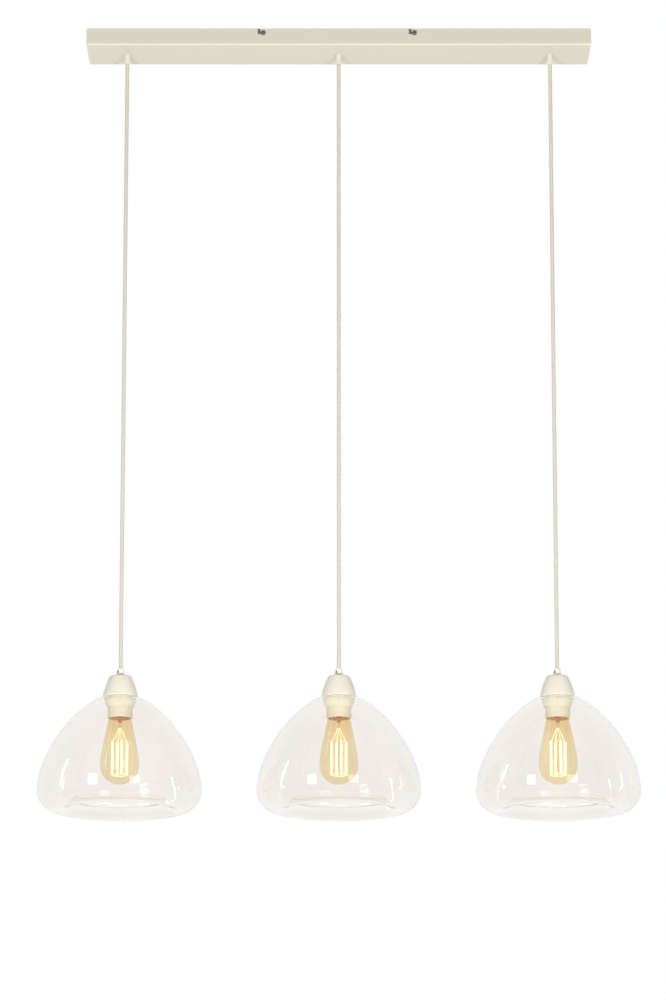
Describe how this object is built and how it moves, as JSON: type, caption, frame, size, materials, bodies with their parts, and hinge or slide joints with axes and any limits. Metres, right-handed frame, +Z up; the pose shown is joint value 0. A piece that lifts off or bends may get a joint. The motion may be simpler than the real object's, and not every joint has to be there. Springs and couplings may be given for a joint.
{
  "type": "pendant_light",
  "caption": "Bar pendant light: a painted ceiling bar with cords that carry domed clear-glass shades, each over a screw-cap filament bulb, adjustable in height.",
  "frame": {"origin": "middle of the ceiling face, at the centre of the bracket's ceiling slots", "axes": "+Z up into the ceiling, +X along the bar, -Y towards the front of the picture"},
  "size_m": [0.99, 0.27, 1.3313],
  "materials": {
    "bar_paint": "matt cream paint",
    "cap_paint": "satin cream paint",
    "zinc": "zinc-plated steel",
    "dark_screw": "blackened steel",
    "cream_nylon": "moulded cream nylon",
    "holder_plastic": "glossy cream moulding",
    "white_insert": "white insulator",
    "terminal_plastic": "white terminal moulding",
    "brass": "plain brass",
    "cord_cover": "beige round cord",
    "brown_core": "brown insulation",
    "blue_core": "blue insulation",
    "earth_core": "green and yellow insulation",
    "shade_glass": "clear, faintly warm blown glass",
    "bulb_amber": "amber glass",
    "stem_glass": "clear glass",
    "lead_wire": "nickel wire",
    "light_stick": "lit filament"
  },
  "bodies": {
    "canopy": {"canopy_housing": "bar_paint", "ceiling_bracket": "dark_screw", "canopy_screws": "dark_screw", "canopy_grips": "cream_nylon", "grip_nuts": "zinc", "terminal_block": "terminal_plastic", "terminal_screws": "brass", "earth_screw": "zinc", "live_cores": "brown_core", "neutral_cores": "blue_core", "earth_lead": "earth_core", "cord_tails": "cord_cover"},
    "flex_left": {"cord_flex_left": "cord_cover"},
    "run_left": {"cord_left": "cord_cover"},
    "pendant_left": {"cord_grip_left": "cream_nylon", "grip_screw_left": "dark_screw", "cap_left": "cap_paint", "shade_left": "shade_glass", "shade_ring_left": "holder_plastic", "lampholder_body_left": "holder_plastic", "lampholder_insert_left": "white_insert", "lampholder_contacts_left": "brass"},
    "tip_left": {"bulb_tip_left": "brass"},
    "bulb_left": {"bulb_cap_left": "brass", "bulb_glass_left": "bulb_amber", "bulb_stem_left": "stem_glass", "bulb_filaments_left": "light_stick", "bulb_leads_left": "lead_wire"},
    "flex_middle": {"cord_flex_middle": "cord_cover"},
    "run_middle": {"cord_middle": "cord_cover"},
    "pendant_middle": {"cord_grip_middle": "cream_nylon", "grip_screw_middle": "dark_screw", "cap_middle": "cap_paint", "shade_middle": "shade_glass", "shade_ring_middle": "holder_plastic", "lampholder_body_middle": "holder_plastic", "lampholder_insert_middle": "white_insert", "lampholder_contacts_middle": "brass"},
    "tip_middle": {"bulb_tip_middle": "brass"},
    "bulb_middle": {"bulb_cap_middle": "brass", "bulb_glass_middle": "bulb_amber", "bulb_stem_middle": "stem_glass", "bulb_filaments_middle": "light_stick", "bulb_leads_middle": "lead_wire"},
    "flex_right": {"cord_flex_right": "cord_cover"},
    "run_right": {"cord_right": "cord_cover"},
    "pendant_right": {"cord_grip_right": "cream_nylon", "grip_screw_right": "dark_screw", "cap_right": "cap_paint", "shade_right": "shade_glass", "shade_ring_right": "holder_plastic", "lampholder_body_right": "holder_plastic", "lampholder_insert_right": "white_insert", "lampholder_contacts_right": "brass"},
    "tip_right": {"bulb_tip_right": "brass"},
    "bulb_right": {"bulb_cap_right": "brass", "bulb_glass_right": "bulb_amber", "bulb_stem_right": "stem_glass", "bulb_filaments_right": "light_stick", "bulb_leads_right": "lead_wire"}
  },
  "joints": [
    {"name": "swing_front_left", "type": "hinge", "parent": "canopy", "child": "flex_left", "pos_m": [-0.36, 0, -0.04905], "axis": [1, 0, 0], "range_deg": [-25, 25]},
    {"name": "swing_side_left", "type": "hinge", "parent": "flex_left", "child": "run_left", "pos_m": [-0.36, 0, -0.04905], "axis": [0, 1, 0], "range_deg": [-1.8, 1.8]},
    {"name": "height_left", "type": "slide", "parent": "run_left", "child": "pendant_left", "axis": [0, 0, 1], "range_m": [0, 0.6], "deforming": ["cord_left"]},
    {"name": "bulb_travel_left", "type": "slide", "parent": "pendant_left", "child": "tip_left", "axis": [0, 0, -1], "range_m": [0, 0.0073]},
    {"name": "bulb_turn_left", "type": "hinge", "parent": "tip_left", "child": "bulb_left", "pos_m": [-0.36, 0, -1.2], "axis": [0, 0, -1], "range_deg": [0, 720]},
    {"name": "swing_front_middle", "type": "hinge", "parent": "canopy", "child": "flex_middle", "pos_m": [0, 0, -0.04905], "axis": [1, 0, 0], "range_deg": [-25, 25]},
    {"name": "swing_side_middle", "type": "hinge", "parent": "flex_middle", "child": "run_middle", "pos_m": [0, 0, -0.04905], "axis": [0, 1, 0], "range_deg": [-1.8, 1.8]},
    {"name": "height_middle", "type": "slide", "parent": "run_middle", "child": "pendant_middle", "axis": [0, 0, 1], "range_m": [0, 0.6], "deforming": ["cord_middle"]},
    {"name": "bulb_travel_middle", "type": "slide", "parent": "pendant_middle", "child": "tip_middle", "axis": [0, 0, -1], "range_m": [0, 0.0073]},
    {"name": "bulb_turn_middle", "type": "hinge", "parent": "tip_middle", "child": "bulb_middle", "pos_m": [0, 0, -1.2], "axis": [0, 0, -1], "range_deg": [0, 720]},
    {"name": "swing_front_right", "type": "hinge", "parent": "canopy", "child": "flex_right", "pos_m": [0.36, 0, -0.04905], "axis": [1, 0, 0], "range_deg": [-25, 25]},
    {"name": "swing_side_right", "type": "hinge", "parent": "flex_right", "child": "run_right", "pos_m": [0.36, 0, -0.04905], "axis": [0, 1, 0], "range_deg": [-1.8, 1.8]},
    {"name": "height_right", "type": "slide", "parent": "run_right", "child": "pendant_right", "axis": [0, 0, 1], "range_m": [0, 0.6], "deforming": ["cord_right"]},
    {"name": "bulb_travel_right", "type": "slide", "parent": "pendant_right", "child": "tip_right", "axis": [0, 0, -1], "range_m": [0, 0.0073]},
    {"name": "bulb_turn_right", "type": "hinge", "parent": "tip_right", "child": "bulb_right", "pos_m": [0.36, 0, -1.2], "axis": [0, 0, -1], "range_deg": [0, 720]}
  ],
  "couplings": [
    {"joint": "bulb_travel_left", "follows": "bulb_turn_left", "m_per_rad": 0.00057757},
    {"joint": "bulb_travel_middle", "follows": "bulb_turn_middle", "m_per_rad": 0.00057757},
    {"joint": "bulb_travel_right", "follows": "bulb_turn_right", "m_per_rad": 0.00057757}
  ]
}
